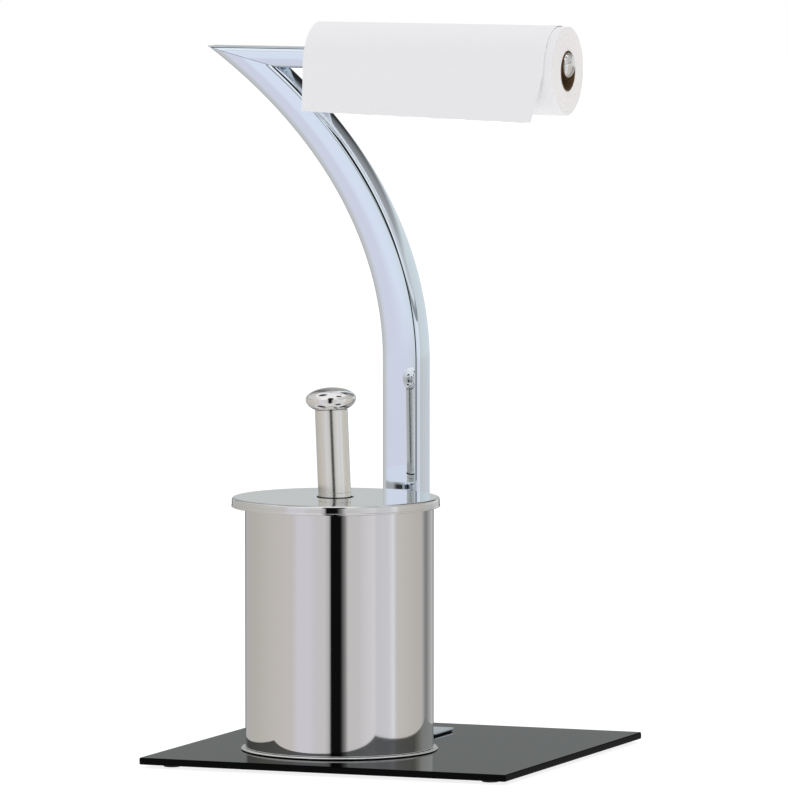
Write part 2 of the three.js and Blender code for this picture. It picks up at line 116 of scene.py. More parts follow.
def between(tree, value, start, end):
    """A share that goes evenly from 0 at start to 1 at end, and stays there."""
    return node(tree, "MapRange", {"Value": value, "From Min": start, "From Max": end}).outputs[0]


def mixed(tree, share, first, second, how="MIX"):
    """Two colours mixed by a share, as a socket."""
    made = node(tree, "MixRGB", {"Fac": share, "Color1": first, "Color2": second}, blend_type=how)
    return made.outputs[0]


def noise(tree, place, scale, detail):
    """Fractal noise at a place, as a socket."""
    return node(tree, "TexNoise", {"Vector": place, "Scale": scale, "Detail": detail}).outputs["Fac"]


world = bpy.data.worlds.new("studio")
world.use_nodes = True
sky = world.node_tree
sky.nodes.clear()
outward = node(sky, "TexCoord").outputs["Generated"]
turned_sky = node(sky, "VectorRotate", {"Vector": outward, "Angle": -VIEW_TURN}, rotation_type="Z_AXIS")
part = node(sky, "SeparateXYZ", {"Vector": turned_sky.outputs[0]})
heading = maths(sky, "ARCTAN2", part.outputs["X"], maths(sky, "MULTIPLY", part.outputs["Y"], -1.0))
heading = maths(sky, "ADD", maths(sky, "DIVIDE", heading, 2 * math.pi), 0.5)
height = maths(sky, "DEGREES", maths(sky, "ARCSINE", part.outputs["Z"]))


def round_about(stops):
    """A colour ramp over the heading, with its stops in degrees to the right of the camera."""
    return ramp(sky, heading, [(place / 360 + 0.5, shade) for place, shade in stops])


# Brightness of the sweep by heading. It is a little brighter where it meets the horizon.
SWEEP = [
    (-180, 0.52), (-150, (0.50, 0.49, 0.48)), (-118, (0.56, 0.54, 0.50)), (-80, (0.63, 0.60, 0.58)),
    (-60, (0.65, 0.62, 0.61)), (-52, (0.72, 0.70, 0.76)), (-37, (0.72, 0.70, 0.76)),
    (-30, (0.67, 0.66, 0.68)), (-17, (0.66, 0.65, 0.65)), (-12, (0.50, 0.49, 0.49)), (-10, 0.005),
    (2, 0.005), (7, 0.25), (11, (0.64, 0.63, 0.63)), (24, (0.65, 0.64, 0.65)), (32, (0.71, 0.70, 0.72)),
    (44, (0.77, 0.75, 0.79)), (47, (0.68, 0.67, 0.70)), (63, (0.70, 0.70, 0.75)),
    (70, (0.83, 0.83, 0.87)), (75, (0.64, 0.62, 0.60)), (94, (0.60, 0.57, 0.54)),
    (114, (0.56, 0.54, 0.50)), (128, 0.60), (152, 0.66), (166, 0.54), (180, 0.52),
]
NEAR_HORIZON = (1.10, 1.15, 1.15, 1)
sweep = mixed(sky, between(sky, height, -4.8, -3.0), round_about(SWEEP), NEAR_HORIZON, "MULTIPLY")
# Low down at the right rear a grey seam runs up the sweep.
SEAM = [(116, 1.0), (123, 0.88), (128, 0.56), (134, 0.36), (141, 0.55), (149, 0.67), (162, 1.0)]
sweep = mixed(sky, between(sky, height, -5.35, -5.55), sweep, round_about(SEAM), "MULTIPLY")
# The grey wall, as a share of the sweep: it stands from 6 to 9 degrees up and fades to 12.
WALL = [
    (-180, 0.72), (-165, 0.72), (-150, 0.30), (0, 0.40), (105, 0.35), (122, 1.0), (160, 1.0),
    (170, 0.72),
]
in_wall = maths(sky, "MULTIPLY", between(sky, height, 5.9, 6.3), between(sky, height, 12.0, 9.0))
sweep = mixed(sky, in_wall, sweep, round_about(WALL), "MULTIPLY")
# Right behind the holder, at the foot of the sweep, is a dark pit.
BLACK = (0.01, 0.01, 0.01, 1)
from_front = maths(sky, "ABSOLUTE", maths(sky, "SUBTRACT", heading, 0.5))
in_pit = maths(sky, "MULTIPLY", between(sky, from_front, 0.445, 0.475), between(sky, height, 2.3, 1.6))
sweep = mixed(sky, maths(sky, "MULTIPLY", in_pit, 0.94), sweep, BLACK)
# Above the wall hangs a canopy, with the flag in front and dark corners behind.
CANOPY = [
    (-180, 0.36), (-168, 0.12), (-158, 0.45), (-145, 0.62), (-100, 0.66), (-60, 0.78), (-46, 0.97),
    (-16, 0.93), (-14, 0.01), (8, 0.01), (11, 0.15), (14, 0.93), (28, 0.85), (40, 0.62), (65, 0.60),
    (88, 0.52), (105, 0.58), (126, 0.42), (140, 0.32), (150, 0.16), (156, 0.02), (163, 0.02),
    (172, 0.36), (180, 0.36),
]
hung = mixed(sky, between(sky, height, 12.0, 16.0), sweep, round_about(CANOPY))
# The top is open and bright, with three dark lamp housings: heading, elevation and half width.
HOUSINGS = [(-118, 66, 13), (62, 62, 12), (142, 50, 14)]
top_light = (0.90, 0.91, 0.93, 1)
for housing in HOUSINGS:
    place, rise, half_width = [math.radians(angle) for angle in housing]
    towards = (math.sin(place) * math.cos(rise), -math.cos(place) * math.cos(rise), math.sin(rise))
    near = node(sky, "VectorMath", {0: turned_sky.outputs[0], 1: towards}, operation="DOT_PRODUCT")
    inside = between(sky, near.outputs["Value"], math.cos(half_width), math.cos(half_width * 0.7))
    top_light = mixed(sky, inside, top_light, (0.02, 0.02, 0.02, 1))
reflected = mixed(sky, between(sky, height, 44.0, 50.0), hung, top_light)
SOFT_BELOW, SOFT_ABOVE = (0.45, 0.45, 0.465, 1), (0.80, 0.80, 0.815, 1)
soft = mixed(sky, between(sky, height, -30.0, 50.0), SOFT_BELOW, SOFT_ABOVE)
ray = node(sky, "LightPath")
lit = mixed(sky, ray.outputs["Is Glossy Ray"], soft, reflected)
seen = mixed(sky, ray.outputs["Is Camera Ray"], lit, (1, 1, 1, 1))
background = node(sky, "Background", {"Color": seen, "Strength": 1.0})
node(sky, "OutputWorld", {"Surface": background.outputs[0]})
bpy.context.scene.world = world


AIMED_AT = Vector((0, 0, 0.3))


def soft_light(name, place, size, power, colour):
    """A square studio light aimed at the middle of the holder; metal doesn't mirror it."""
    lamp = bpy.data.lights.new(name, "AREA")
    lamp.size = size
    lamp.energy = power
    lamp.color = colour
    light = scene_object(name, lamp)
    light.location = place
    light.rotation_euler = (Vector(place) - AIMED_AT).to_track_quat("Z", "Y").to_euler()
    light.visible_glossy = False


soft_light("light_over", (-0.3, 0.3, 2.6), 1.6, 10, (1.0, 0.99, 0.98))
soft_light("light_left", (-2.0, -1.6, 1.2), 1.4, 2.5, (0.97, 0.98, 1.0))

FLOOR_HALF = 12.0
floor_mesh = bpy.data.meshes.new("studio_floor")
floor_mesh.from_pydata(
    [(-FLOOR_HALF, -FLOOR_HALF, 0), (FLOOR_HALF, -FLOOR_HALF, 0),
     (FLOOR_HALF, FLOOR_HALF, 0), (-FLOOR_HALF, FLOOR_HALF, 0)], [], [(0, 1, 2, 3)])
studio_floor = scene_object("studio_floor", floor_mesh)
floor_paint = bpy.data.materials.new("studio_floor")
floor_paint.use_nodes = True
floor_shader = floor_paint.node_tree.nodes["Principled BSDF"]
FLOOR_FINISH = {
    "Base Color": (0.3, 0.3, 0.3, 1), "Roughness": 1.0, "Specular IOR Level": 0.0,
    "Emission Color": (1, 1, 1, 1), "Emission Strength": 0.86,
}
for key, value in FLOOR_FINISH.items():
    floor_shader.inputs[key].default_value = value
floor_mesh.materials.append(floor_paint)
studio_floor.visible_glossy = False

# ---- glass base ------------------------------------------------------------------------------
# A square of 6 mm black glass with ground and polished edges, drilled for the two bolts of the
# post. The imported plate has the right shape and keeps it; it gets polished black glass here.


def finish(name, **constants):
    """A Principled material. Constants are its sockets, with _ for a space."""
    made = bpy.data.materials.new(name)
    made.use_nodes = True
    shader = made.node_tree.nodes["Principled BSDF"]
    for key, value in constants.items():
        shader.inputs[key.replace("_", " ")].default_value = value
    return made


def wired(made, **sockets):
    """Links sockets into a material's Principled shader, by its socket names with _ for a space."""
    tree = made.node_tree
    for key, value in sockets.items():
        tree.links.new(value, tree.nodes["Principled BSDF"].inputs[key.replace("_", " ")])
    return made


def bumped(tree, height, depth):
    """The normal of a surface with this relief, depth metres from its lowest to its highest."""
    return node(tree, "Bump", {"Height": height, "Distance": depth}).outputs["Normal"]


def group(name, inputs, outputs):
    """A node group with number inputs {name: value} and outputs {name: "Float" or "Color"}."""
    made = bpy.data.node_groups.new(name, "ShaderNodeTree")
    for key, value in inputs.items():
        socket = made.interface.new_socket(key, in_out="INPUT", socket_type="NodeSocketFloat")
        socket.default_value = value
    for key, kind in outputs.items():
        made.interface.new_socket(key, in_out="OUTPUT", socket_type="NodeSocket" + kind)
    return made, made.nodes.new("NodeGroupInput"), made.nodes.new("NodeGroupOutput")


# Handling marks: broad faint smudges that dull the polish in places, and a fine unevenness.
handling, given, result = group(
    "handling_marks", {"Gloss": 0.05, "Smudge": 0.05, "Size": 9.0},
    {"Roughness": "Float", "Height": "Float"})
spot = node(handling, "TexCoord").outputs["Object"]
clouds = noise(handling, spot, given.outputs["Size"], 5.0)
smudged = maths(handling, "MULTIPLY", between(handling, clouds, 0.45, 0.75), given.outputs["Smudge"])
handling.links.new(maths(handling, "ADD", given.outputs["Gloss"], smudged), result.inputs["Roughness"])
handling.links.new(noise(handling, spot, 38.0, 2.0), result.inputs["Height"])


def handled(made, gloss, smudge, size, dent):
    """Wires handling marks into a material's Roughness and, dent metres deep, into its Normal."""
    tree = made.node_tree
    marks = node(tree, "Group", {"Gloss": gloss, "Smudge": smudge, "Size": size}, node_tree=handling)
    normal = bumped(tree, marks.outputs["Height"], dent)
    return wired(made, Roughness=marks.outputs["Roughness"], Normal=normal)


def repaint(name, paint):
    """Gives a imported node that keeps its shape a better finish."""
    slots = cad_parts[name].data.materials
    slots.clear()
    slots.append(paint)


black_glass = handled(
    finish("black_glass", Base_Color=(0.002, 0.002, 0.0022, 1), IOR=1.5, Specular_IOR_Level=0.04),
    0.012, 0.03, 7.0, 0.000004)
repaint("glass_base", black_glass)
glass_low, glass_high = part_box("glass_base")
GLASS_TOP = glass_high.z
GLASS_MID_X = (glass_low.x + glass_high.x) / 2

# ---- rubber feet -----------------------------------------------------------------------------
# Four moulded rubber buttons glued under the corners of the glass. Each is a short disc with a
# rounded lower edge and a shallow hollow in its underside.


def skin(name, points, ring=False, ends=None, crease=30, cloth=None):
    """Lays a surface through a grid of points and returns its object.

    Point (i, j) joins its neighbours in row i and in row i + 1, and every row closes on itself.
    With ring the last row joins the first. Ends "flat" fills the first and last rows, and "thin"
    closes them as the edge of a sheet, whose rows run out on one face and back on the other.
    Points that fall together, as at a pole, become one. cloth is (along, around): each row's and
    each column's distance in metres, for the UV map, with one more where the grid closes.
    """
    number = np.arange(points.shape[0] * points.shape[1]).reshape(points.shape[:2])
    closed = np.vstack([number, number[:1]]) if ring else number
    closed = np.hstack([closed, closed[:, :1]])
    quads = np.stack([closed[:-1, :-1], closed[:-1, 1:], closed[1:, 1:], closed[1:, :-1]], axis=-1)
    faces = quads.reshape(-1, 4).tolist()
    if ends == "flat":
        faces += [number[0, ::-1].tolist(), number[-1].tolist()]
    elif ends == "thin":
        out, back = np.hsplit(number[[0, -1]], 2)
        back = back[:, ::-1]
        strips = np.stack([out[:, :-1], out[:, 1:], back[:, 1:], back[:, :-1]], axis=-1)
        faces += strips.reshape(-1, 4).tolist()
    mesh = bpy.data.meshes.new(name)
    mesh.from_pydata(points.reshape(-1, 3).tolist(), [], faces)
    if cloth:
        v, u = np.meshgrid(cloth[0], cloth[1], indexing="ij")
        flat = np.stack([u, v], axis=-1)
        corners = [flat[:-1, :-1], flat[:-1, 1:], flat[1:, 1:], flat[1:, :-1]]
        spread = np.zeros((len(mesh.loops), 2), np.float32)
        spread[:quads.size] = np.stack(corners, axis=2).reshape(-1, 2)
        mesh.uv_layers.new(name="cloth").data.foreach_set("uv", spread.ravel())
    work = bmesh.new()
    work.from_mesh(mesh)
    bmesh.ops.remove_doubles(work, verts=work.verts, dist=1e-6)
    bmesh.ops.recalc_face_normals(work, faces=work.faces)
    work.to_mesh(mesh)
    work.free()
    mesh.shade_smooth()
    mesh.set_sharp_from_angle(angle=math.radians(crease))
    return scene_object(name, mesh)


def eased(corners, rounding, closed=False, steps=6):
    """A profile with rounded corners, as an array of points.

    From `rounding` before a corner to `rounding` after it, the line is the blend
    (1-t)^2 before + 2t(1-t) corner + t^2 after. A further point on each side keeps the flats flat.
    """
    corner = np.array(corners, float)
    reach = np.broadcast_to(np.array(rounding, float), len(corner)).copy()
    before = np.roll(corner, 1, axis=0) - corner
    after = np.roll(corner, -1, axis=0) - corner
    before /= np.linalg.norm(before, axis=1, keepdims=True)
    after /= np.linalg.norm(after, axis=1, keepdims=True)
    if not closed:
        reach[[0, -1]] = 0
    before *= reach[:, None]
    after *= reach[:, None]
    t = np.linspace(0, 1, steps + 1)[None, :, None]
    curve = corner[:, None] + (1 - t) ** 2 * before[:, None] + t ** 2 * after[:, None]
    lead, tail = (corner + 1.3 * before)[:, None], (corner + 1.3 * after)[:, None]
    line = np.concatenate([lead, curve, tail], axis=1).reshape(-1, 2)
    moved = np.linalg.norm(line - np.roll(line, 1, axis=0), axis=1) > 1e-7
    moved[0] = moved[0] or not closed
    return line[moved]


def turned(name, profile, foot, axis=(0, 0, 1), count=96, ring=False):
    """Turns a profile of (radius, height) round an axis that starts at foot.

    A point is foot + axis * height + radius * (side * cos(a) + front * sin(a)).
    """
    axis = np.array(axis, float) / np.linalg.norm(axis)
    side = np.cross(axis, (0.0, 1.0, 0.0))
    side /= np.linalg.norm(side)
    front = np.cross(axis, side)
    angle = np.arange(count)[None, :, None] * 2 * math.pi / count
    radius, height = profile[:, 0][:, None, None], profile[:, 1][:, None, None]
    spoke = side * np.cos(angle) + front * np.sin(angle)
    return skin(name, np.array(foot, float) + axis * height + radius * spoke, ring=ring)


def fit(piece, paint, body, slot, *nodes):
    """Gives a piece its finish, lets it ride on its body, and stands it in for CAD nodes."""
    piece.data.materials.append(paint)
    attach(piece, body)
    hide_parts(*nodes)
    return piece


# Moulded grain: the fine pebbled skin that a plastic or rubber tool leaves, with faint scuffs.
moulded, given, result = group(
    "moulded_grain", {"Gloss": 0.5, "Scuff": 0.15},
    {"Roughness": "Float", "Height": "Float", "Wear": "Float"})
spot = node(moulded, "TexCoord").outputs["Object"]
worn = between(moulded, noise(moulded, spot, 60.0, 4.0), 0.5, 0.8)
scuffed = maths(moulded, "MULTIPLY", worn, given.outputs["Scuff"])
moulded.links.new(maths(moulded, "ADD", given.outputs["Gloss"], scuffed), result.inputs["Roughness"])
moulded.links.new(noise(moulded, spot, 1400.0, 2.0), result.inputs["Height"])
moulded.links.new(worn, result.inputs["Wear"])


def plastic(name, colour, worn_colour, gloss, scuff, depth):
    """A moulded plastic or rubber with a pebbled skin and slightly paler scuffs."""
    made = finish(name)
    tree = made.node_tree
    marks = node(tree, "Group", {"Gloss": gloss, "Scuff": scuff}, node_tree=moulded)
    tint = mixed(tree, marks.outputs["Wear"], (*colour, 1), (*worn_colour, 1))
    normal = bumped(tree, marks.outputs["Height"], depth)
    return wired(made, Base_Color=tint, Roughness=marks.outputs["Roughness"], Normal=normal)


rubber = plastic("black_rubber", (0.018, 0.018, 0.018), (0.045, 0.044, 0.042), 0.72, 0.2, 0.00006)
FOOT_RADIUS, FOOT_HEIGHT = 0.0075, 0.0028
HOLLOW_RADIUS, HOLLOW_DEPTH = 0.0032, 0.0006
for place in ("front_left", "front_right", "rear_left", "rear_right"):
    low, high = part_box("rubber_foot_" + place)
    button = eased(
        [(0, HOLLOW_DEPTH), (HOLLOW_RADIUS, HOLLOW_DEPTH), (HOLLOW_RADIUS + HOLLOW_DEPTH, 0),
         (FOOT_RADIUS, 0), (FOOT_RADIUS, FOOT_HEIGHT), (0, FOOT_HEIGHT)],
        [0, 0.0002, 0.0003, 0.0011, 0.0002, 0])
    middle = ((low.x + high.x) / 2, (low.y + high.y) / 2, 0)
    foot = turned("foot_button_" + place, button, middle, count=64)
    fit(foot, rubber, "stand", "rubber", "rubber_foot_" + place)

# ---- foot plate, gasket and fixings ----------------------------------------------------------
# A chromed plate welded under the post, on a thin rubber gasket. Two bolts with washers come up
# through the glass into a threaded block inside the post; the block and gasket hardly show.


def box_columns(corner_steps, face_steps):
    """For each point round a box with round corners, two pairs: (across, deep).

    The first pair is the share of the way from the middle to a corner's centre, and the second the
    direction out of that centre. Along a corner the direction turns evenly; along a face both
    pairs go evenly from one corner's to the next. A point is centre * first + radius * second.
    """
    turn = (np.arange(4)[:, None] + np.linspace(0, 1, corner_steps + 1)) * math.pi / 2
    out = np.stack([np.cos(turn), np.sin(turn)], axis=-1)
    centre = np.array([[1.0, 1], [-1, 1], [-1, -1], [1, -1]])[:, None] + 0 * out
    share = np.linspace(0, 1, face_steps + 2)[1:-1][None, :, None]
    face_out = out[:, -1:] * (1 - share) + np.roll(out, -1, axis=0)[:, :1] * share
    face_centre = centre[:, -1:] * (1 - share) + np.roll(centre, -1, axis=0)[:, :1] * share
    centre = np.concatenate([centre, face_centre], axis=1).reshape(-1, 2)
    return centre, np.concatenate([out, face_out], axis=1).reshape(-1, 2)


def box_section(columns, width, depth, round_across, round_deep, crown_front=0.0, crown_side=0.0):
    """(across, deep) round a box section whose corners are quarter ellipses and whose faces bulge.

    A face draws in by its crown times the square of the share of the way to the section's edge.
    """
    centre, out = columns
    across = centre[:, 0] * (width / 2 - round_across) + out[:, 0] * round_across
    deep = centre[:, 1] * (depth / 2 - round_deep) + out[:, 1] * round_deep
    share_across, share_deep = across / (width / 2), deep / (depth / 2)
    drawn_across = across - crown_side * share_across * share_deep ** 2
    drawn_deep = deep - crown_front * share_deep * share_across ** 2
    return drawn_across, drawn_deep


def slab(name, box, thin, columns, corner, edge):
    """A flat plate that fills a box, with rounded corners; `thin` is the axis across it.

    At each step of an eased edge across the thickness stands the outline minus the edge's inset.
    """
    low, high = np.array(box)
    size, middle = high - low, (high + low) / 2
    wide, deep = [axis for axis in range(3) if axis != thin]
    outline = box_section(columns, size[wide], size[deep], corner, corner)
    profile = eased([(0.001, 0), (0, 0), (0, size[thin]), (0.001, size[thin])], [0, edge, edge, 0])
    points = np.empty((len(profile), len(columns[0]), 3))
    points[..., thin] = low[thin] + profile[:, 1:]
    for axis, rim, out in zip((wide, deep), outline, columns[1].T):
        points[..., axis] = middle[axis] + rim - profile[:, :1] * out
    return skin(name, points, ends="flat")


def metal(name, colour, gloss, smudge, size, dent):
    """A polished metal with handling marks."""
    return handled(finish(name, Base_Color=(*colour, 1), Metallic=1.0), gloss, smudge, size, dent)


chrome = metal("chrome_plate", (0.82, 0.90, 0.985), 0.025, 0.05, 6.0, 0.000012)
bolt_steel = metal("bolt_steel", (0.56, 0.55, 0.53), 0.28, 0.2, 160.0, 0.00004)
plate_low, plate_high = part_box("post_foot_plate")
POST_X = (plate_low.x + plate_high.x) / 2
POST_Y = (plate_low.y + plate_high.y) / 2
foot_plate = slab("foot_plate_chromed", (plate_low, plate_high), 2, box_columns(10, 8), 0.002, 0.0005)
fit(foot_plate, chrome, "stand", "chrome", "post_foot_plate")
repaint("foot_plate_gasket", rubber)
repaint("post_insert_block", bolt_steel)
for place in ("left", "right"):
    repaint("fixing_bolt_" + place, bolt_steel)
    repaint("fixing_washer_" + place, bolt_steel)

# ---- curved post -----------------------------------------------------------------------------
# One length of chromed box tube, 37 by 30 mm at the foot. It rises straight, then bends to the left
# and narrows, and is cut on a long slant where the arm is welded on.

POST_WIDTH, POST_TIP_WIDTH, POST_DEPTH = 0.037, 0.027, 0.030
TAPER_POWER = 1.3
TUBE_WALL = 0.0015
CORNER_DEEP = 0.004
CORNER_SHARE, CORNER_GROWTH = 0.12, 0.08
BEND_START = GLASS_TOP + 0.330
BEND_HALF_X, BEND_HALF_Z = 0.6218, 0.3997
BEND_END = math.radians(45)
ARM_TOP = GLASS_TOP + 0.602
ARM_HEIGHT = 0.018
MITRE_RUN = 0.070
WELD_GAP = 0.0003
TIP_TURN = math.asin((ARM_TOP - BEND_START) / BEND_HALF_Z)
TIP_X = POST_X - POST_WIDTH / 2 - BEND_HALF_X * (1 - math.cos(TIP_TURN))
mitre_out = np.array([ARM_HEIGHT, 0, MITRE_RUN]) / math.hypot(ARM_HEIGHT, MITRE_RUN)
mitre_point = np.array([TIP_X, 0, ARM_TOP])
FRONT_CROWN, SIDE_CROWN = 0.00115, 0.0009
post_columns = box_columns(12, 12)


def post_wall(turn, inset):
    """Points of the post's wall, `inset` inside its outer skin.

    turn is the angle round the bend, or below the bend a depth in metres, negative. The outer edge
    follows an ellipse; the section stands square to it, its width falls from the foot's to the
    tip's with a power of the turn, its corners are quarter ellipses and its faces bulge.
    """
    bent = np.maximum(turn, 0)
    grown = bent / BEND_END
    across = np.stack([BEND_HALF_Z * np.cos(bent), 0 * bent, BEND_HALF_X * np.sin(bent)], axis=-1)
    across /= np.linalg.norm(across, axis=-1, keepdims=True)
    outer_x = POST_X - POST_WIDTH / 2 - BEND_HALF_X * (1 - np.cos(bent))
    outer_z = BEND_START + BEND_HALF_Z * np.sin(bent) + np.minimum(turn, 0)
    width = POST_WIDTH + (POST_TIP_WIDTH - POST_WIDTH) * grown ** TAPER_POWER
    round_across = width * (CORNER_SHARE + CORNER_GROWTH * grown) - inset
    u, v = box_section(
        post_columns, width - 2 * inset, POST_DEPTH - 2 * inset, round_across, CORNER_DEEP - inset,
        FRONT_CROWN, SIDE_CROWN)
    points = np.stack([outer_x, POST_Y + v, outer_z], axis=-1)
    return points + across * (u + width / 2)[..., None]


def turn_at_mitre(inset):
    """Each column's turn where it meets the slanted cut, found by halving a span of turns."""
    near, far = np.full(len(post_columns[0]), 0.4), np.full(len(post_columns[0]), 1.0)
    for _ in range(40):
        half = (near + far) / 2
        over = (post_wall(half[None], inset)[0] - mitre_point) @ mitre_out > -WELD_GAP / 2
        near, far = np.where(over, near, half), np.where(over, half, far)
    return near


post_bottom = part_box("curved_post")[0].z
straight = np.linspace(post_bottom - BEND_START, 0, 14)[:-1]
wall_rows = []
for inset, rows in ((0.0, 90), (TUBE_WALL, 45)):
    bend = np.linspace(0, 1, rows)[:, None] * turn_at_mitre(inset)[None]
    turns = np.vstack([np.repeat(straight[:, None], len(post_columns[0]), axis=1), bend])
    wall_rows.append(post_wall(turns, inset))
post = skin("post_box_tube", np.vstack([wall_rows[0], wall_rows[1][::-1]]), ring=True)
fit(post, chrome, "stand", "chrome", "curved_post")

# ---- arm -------------------------------------------------------------------------------------
# A short level length of the same chromed box tube, cut to the same slant as the post's end, with
# a small plate welded over its right end, a little lower than the arm, to carry the spindle.

ARM_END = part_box("arm")[1].x
ARM_MID_Z = ARM_TOP - ARM_HEIGHT / 2
ARM_CORNER, ARM_CROWN = 0.004, 0.0004
GROOVE_BELOW_TOP, GROOVE_DEPTH, GROOVE_HALF = 0.0042, 0.0003, 0.00025
arm_columns = box_columns(10, 60)


def arm_wall(inset, rows):
    """Points of the arm's wall: a rounded section run along X from the slanted cut to the end.

    A fine groove, depth * exp(-(height from it / half width)^2), runs along the outer front and back.
    """
    corner = ARM_CORNER - inset
    deep, rise = box_section(
        arm_columns, POST_DEPTH - 2 * inset, ARM_HEIGHT - 2 * inset, corner, corner, 0.0, ARM_CROWN)
    rise = ARM_MID_Z + rise
    from_groove = (rise - ARM_TOP + GROOVE_BELOW_TOP) / GROOVE_HALF
    deep = deep - np.sign(deep) * (inset == 0) * GROOVE_DEPTH * np.exp(-from_groove ** 2)
    start = TIP_X + (WELD_GAP / 2 - (rise - ARM_TOP) * mitre_out[2]) / mitre_out[0]
    along = start + np.linspace(0, 1, rows)[:, None] * (ARM_END - start)
    deep = np.broadcast_to(POST_Y + deep, along.shape)
    return np.stack([along, deep, np.broadcast_to(rise, along.shape)], axis=-1)


arm = skin("arm_box_tube", np.vstack([arm_wall(0.0, 12), arm_wall(TUBE_WALL, 12)[::-1]]), ring=True)
fit(arm, chrome, "stand", "chrome", "arm")

end_plate = slab("arm_closing_plate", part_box("arm_end_plate"), 0, arm_columns, ARM_CORNER, 0.0004)
fit(end_plate, chrome, "stand", "chrome", "arm_end_plate")

# ---- spindle ---------------------------------------------------------------------------------
# A chromed round tube welded to the arm's end plate. A turned plug with a domed head closes its
# free end and shows in the middle of the roll.

tube_low, tube_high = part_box("spindle_tube")
SPINDLE_RADIUS = (tube_high.z - tube_low.z) / 2
SPINDLE_Z = (tube_high.z + tube_low.z) / 2
spindle_length = tube_high.x - tube_low.x
spindle_foot = (tube_low.x, POST_Y, SPINDLE_Z)
profile = eased(
    [(SPINDLE_RADIUS, 0), (SPINDLE_RADIUS, spindle_length),
     (SPINDLE_RADIUS - TUBE_WALL, spindle_length), (SPINDLE_RADIUS - TUBE_WALL, 0)], 0.0003, closed=True)
spindle = turned("spindle_round_tube", profile, spindle_foot, axis=(1, 0, 0), ring=True)
fit(spindle, chrome, "stand", "chrome", "spindle_tube")


def arc(middle, reach, start, end, count):
    """Points of an arc: middle + (across * cos a, up * sin a), with a in degrees from start to end."""
    angle = np.radians(np.linspace(start, end, count))
    return np.array(middle) + np.array(reach) * np.stack([np.cos(angle), np.sin(angle)], axis=1)


CAP_STRAIGHT, CAP_DOME, SPIGOT = 0.006, 0.006, 0.008
cap_foot = (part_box("spindle_end_cap")[1].x - CAP_STRAIGHT - CAP_DOME, POST_Y, SPINDLE_Z)
SPIGOT_RADIUS = SPINDLE_RADIUS - 0.0018
dome = arc((0, CAP_STRAIGHT), (SPINDLE_RADIUS, CAP_DOME), 0, 90, 24)
stem = eased(
    [(0, -SPIGOT), (SPIGOT_RADIUS, -SPIGOT), (SPIGOT_RADIUS, 0), (SPINDLE_RADIUS, 0),
     (SPINDLE_RADIUS, CAP_STRAIGHT * 0.9)], [0, 0.0005, 0, 0.0005, 0])
bright_chrome = metal("bright_chrome", (0.90, 0.89, 0.87), 0.10, 0.05, 30.0, 0.00001)
cap = turned("spindle_domed_plug", np.vstack([stem, dome]), cap_foot, axis=(1, 0, 0), count=72)
fit(cap, bright_chrome, "stand", "chrome", "spindle_end_cap")

# ---- canister --------------------------------------------------------------------------------
# A can rolled from polished stainless sheet, with a curled rim and a pressed floor. It stands on a
# thin flat ring with a rounded bright edge.

shell_low, shell_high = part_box("canister_shell")
CAN_X, CAN_Y = (shell_low.x + shell_high.x) / 2, (shell_low.y + shell_high.y) / 2
CAN_RADIUS, CAN_WALL = 0.0817, 0.001
polished_steel = metal("polished_stainless", (0.79, 0.785, 0.78), 0.02, 0.05, 5.0, 0.000015)
CURL_RADIUS, CURL_SET_IN, HEM = 0.0012, 0.0009, 0.005
rim_z = shell_high.z - CURL_RADIUS
curled = arc((CAN_RADIUS - CURL_SET_IN, rim_z), CURL_RADIUS, -40, 200, 22)
inner = CAN_RADIUS - CAN_WALL
base = shell_low.z
wall = eased(
    [(inner, rim_z - 0.003), (inner, base + CAN_WALL), (inner - HEM, base + CAN_WALL),
     (inner - HEM, base), (CAN_RADIUS, base), (CAN_RADIUS, rim_z - CURL_SET_IN)],
    [0, 0.0004, 0.0002, 0.0002, 0.0006, 0])
can_foot = (CAN_X, CAN_Y, 0)
shell = turned("canister_rolled_wall", np.vstack([wall, curled]), can_foot, count=192, ring=True)
fit(shell, polished_steel, "canister", "polished_steel", "canister_shell")

floor_low, floor_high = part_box("canister_floor")
PRESS_OUTER, PRESS_INNER, PRESS_DEPTH = 0.072, 0.070, 0.0003
floor_radius = inner - 0.0003
pressed = eased(
    [(0, floor_low.z), (floor_radius, floor_low.z), (floor_radius, floor_high.z),
     (PRESS_OUTER, floor_high.z), (PRESS_INNER, floor_high.z - PRESS_DEPTH),
     (0, floor_high.z - PRESS_DEPTH)], [0, 0.0003, 0.0003, 0.001, 0.001, 0])
can_floor = turned("canister_pressed_floor", pressed, can_foot, count=96)
fit(can_floor, polished_steel, "canister", "polished_steel", "canister_floor")

lip_low, lip_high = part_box("canister_lip")
LIP_RADIUS = (lip_high.x - lip_low.x) / 2
LIP_INNER = CAN_RADIUS - 0.007
half = (lip_high.z - lip_low.z) / 2
bead_start = LIP_RADIUS - 2.2 * half
beaded = arc((LIP_RADIUS - half, lip_low.z + half), half, -90, 90, 18)
lip_profile = np.vstack([
    [[LIP_INNER, lip_high.z], [LIP_INNER, lip_low.z], [bead_start, lip_low.z]],
    beaded, [[bead_start, lip_high.z]]])
lip = turned("canister_standing_ring", lip_profile, can_foot, count=192, ring=True)
ring_steel = metal("ring_stainless", (0.95, 0.95, 0.95), 0.35, 0.05, 30.0, 0.00001)
fit(lip, ring_steel, "canister", "polished_steel", "canister_lip")

# ---- inner cup -------------------------------------------------------------------------------
# A loose black plastic cup that catches drips. It lifts out of the canister by its thin flange.

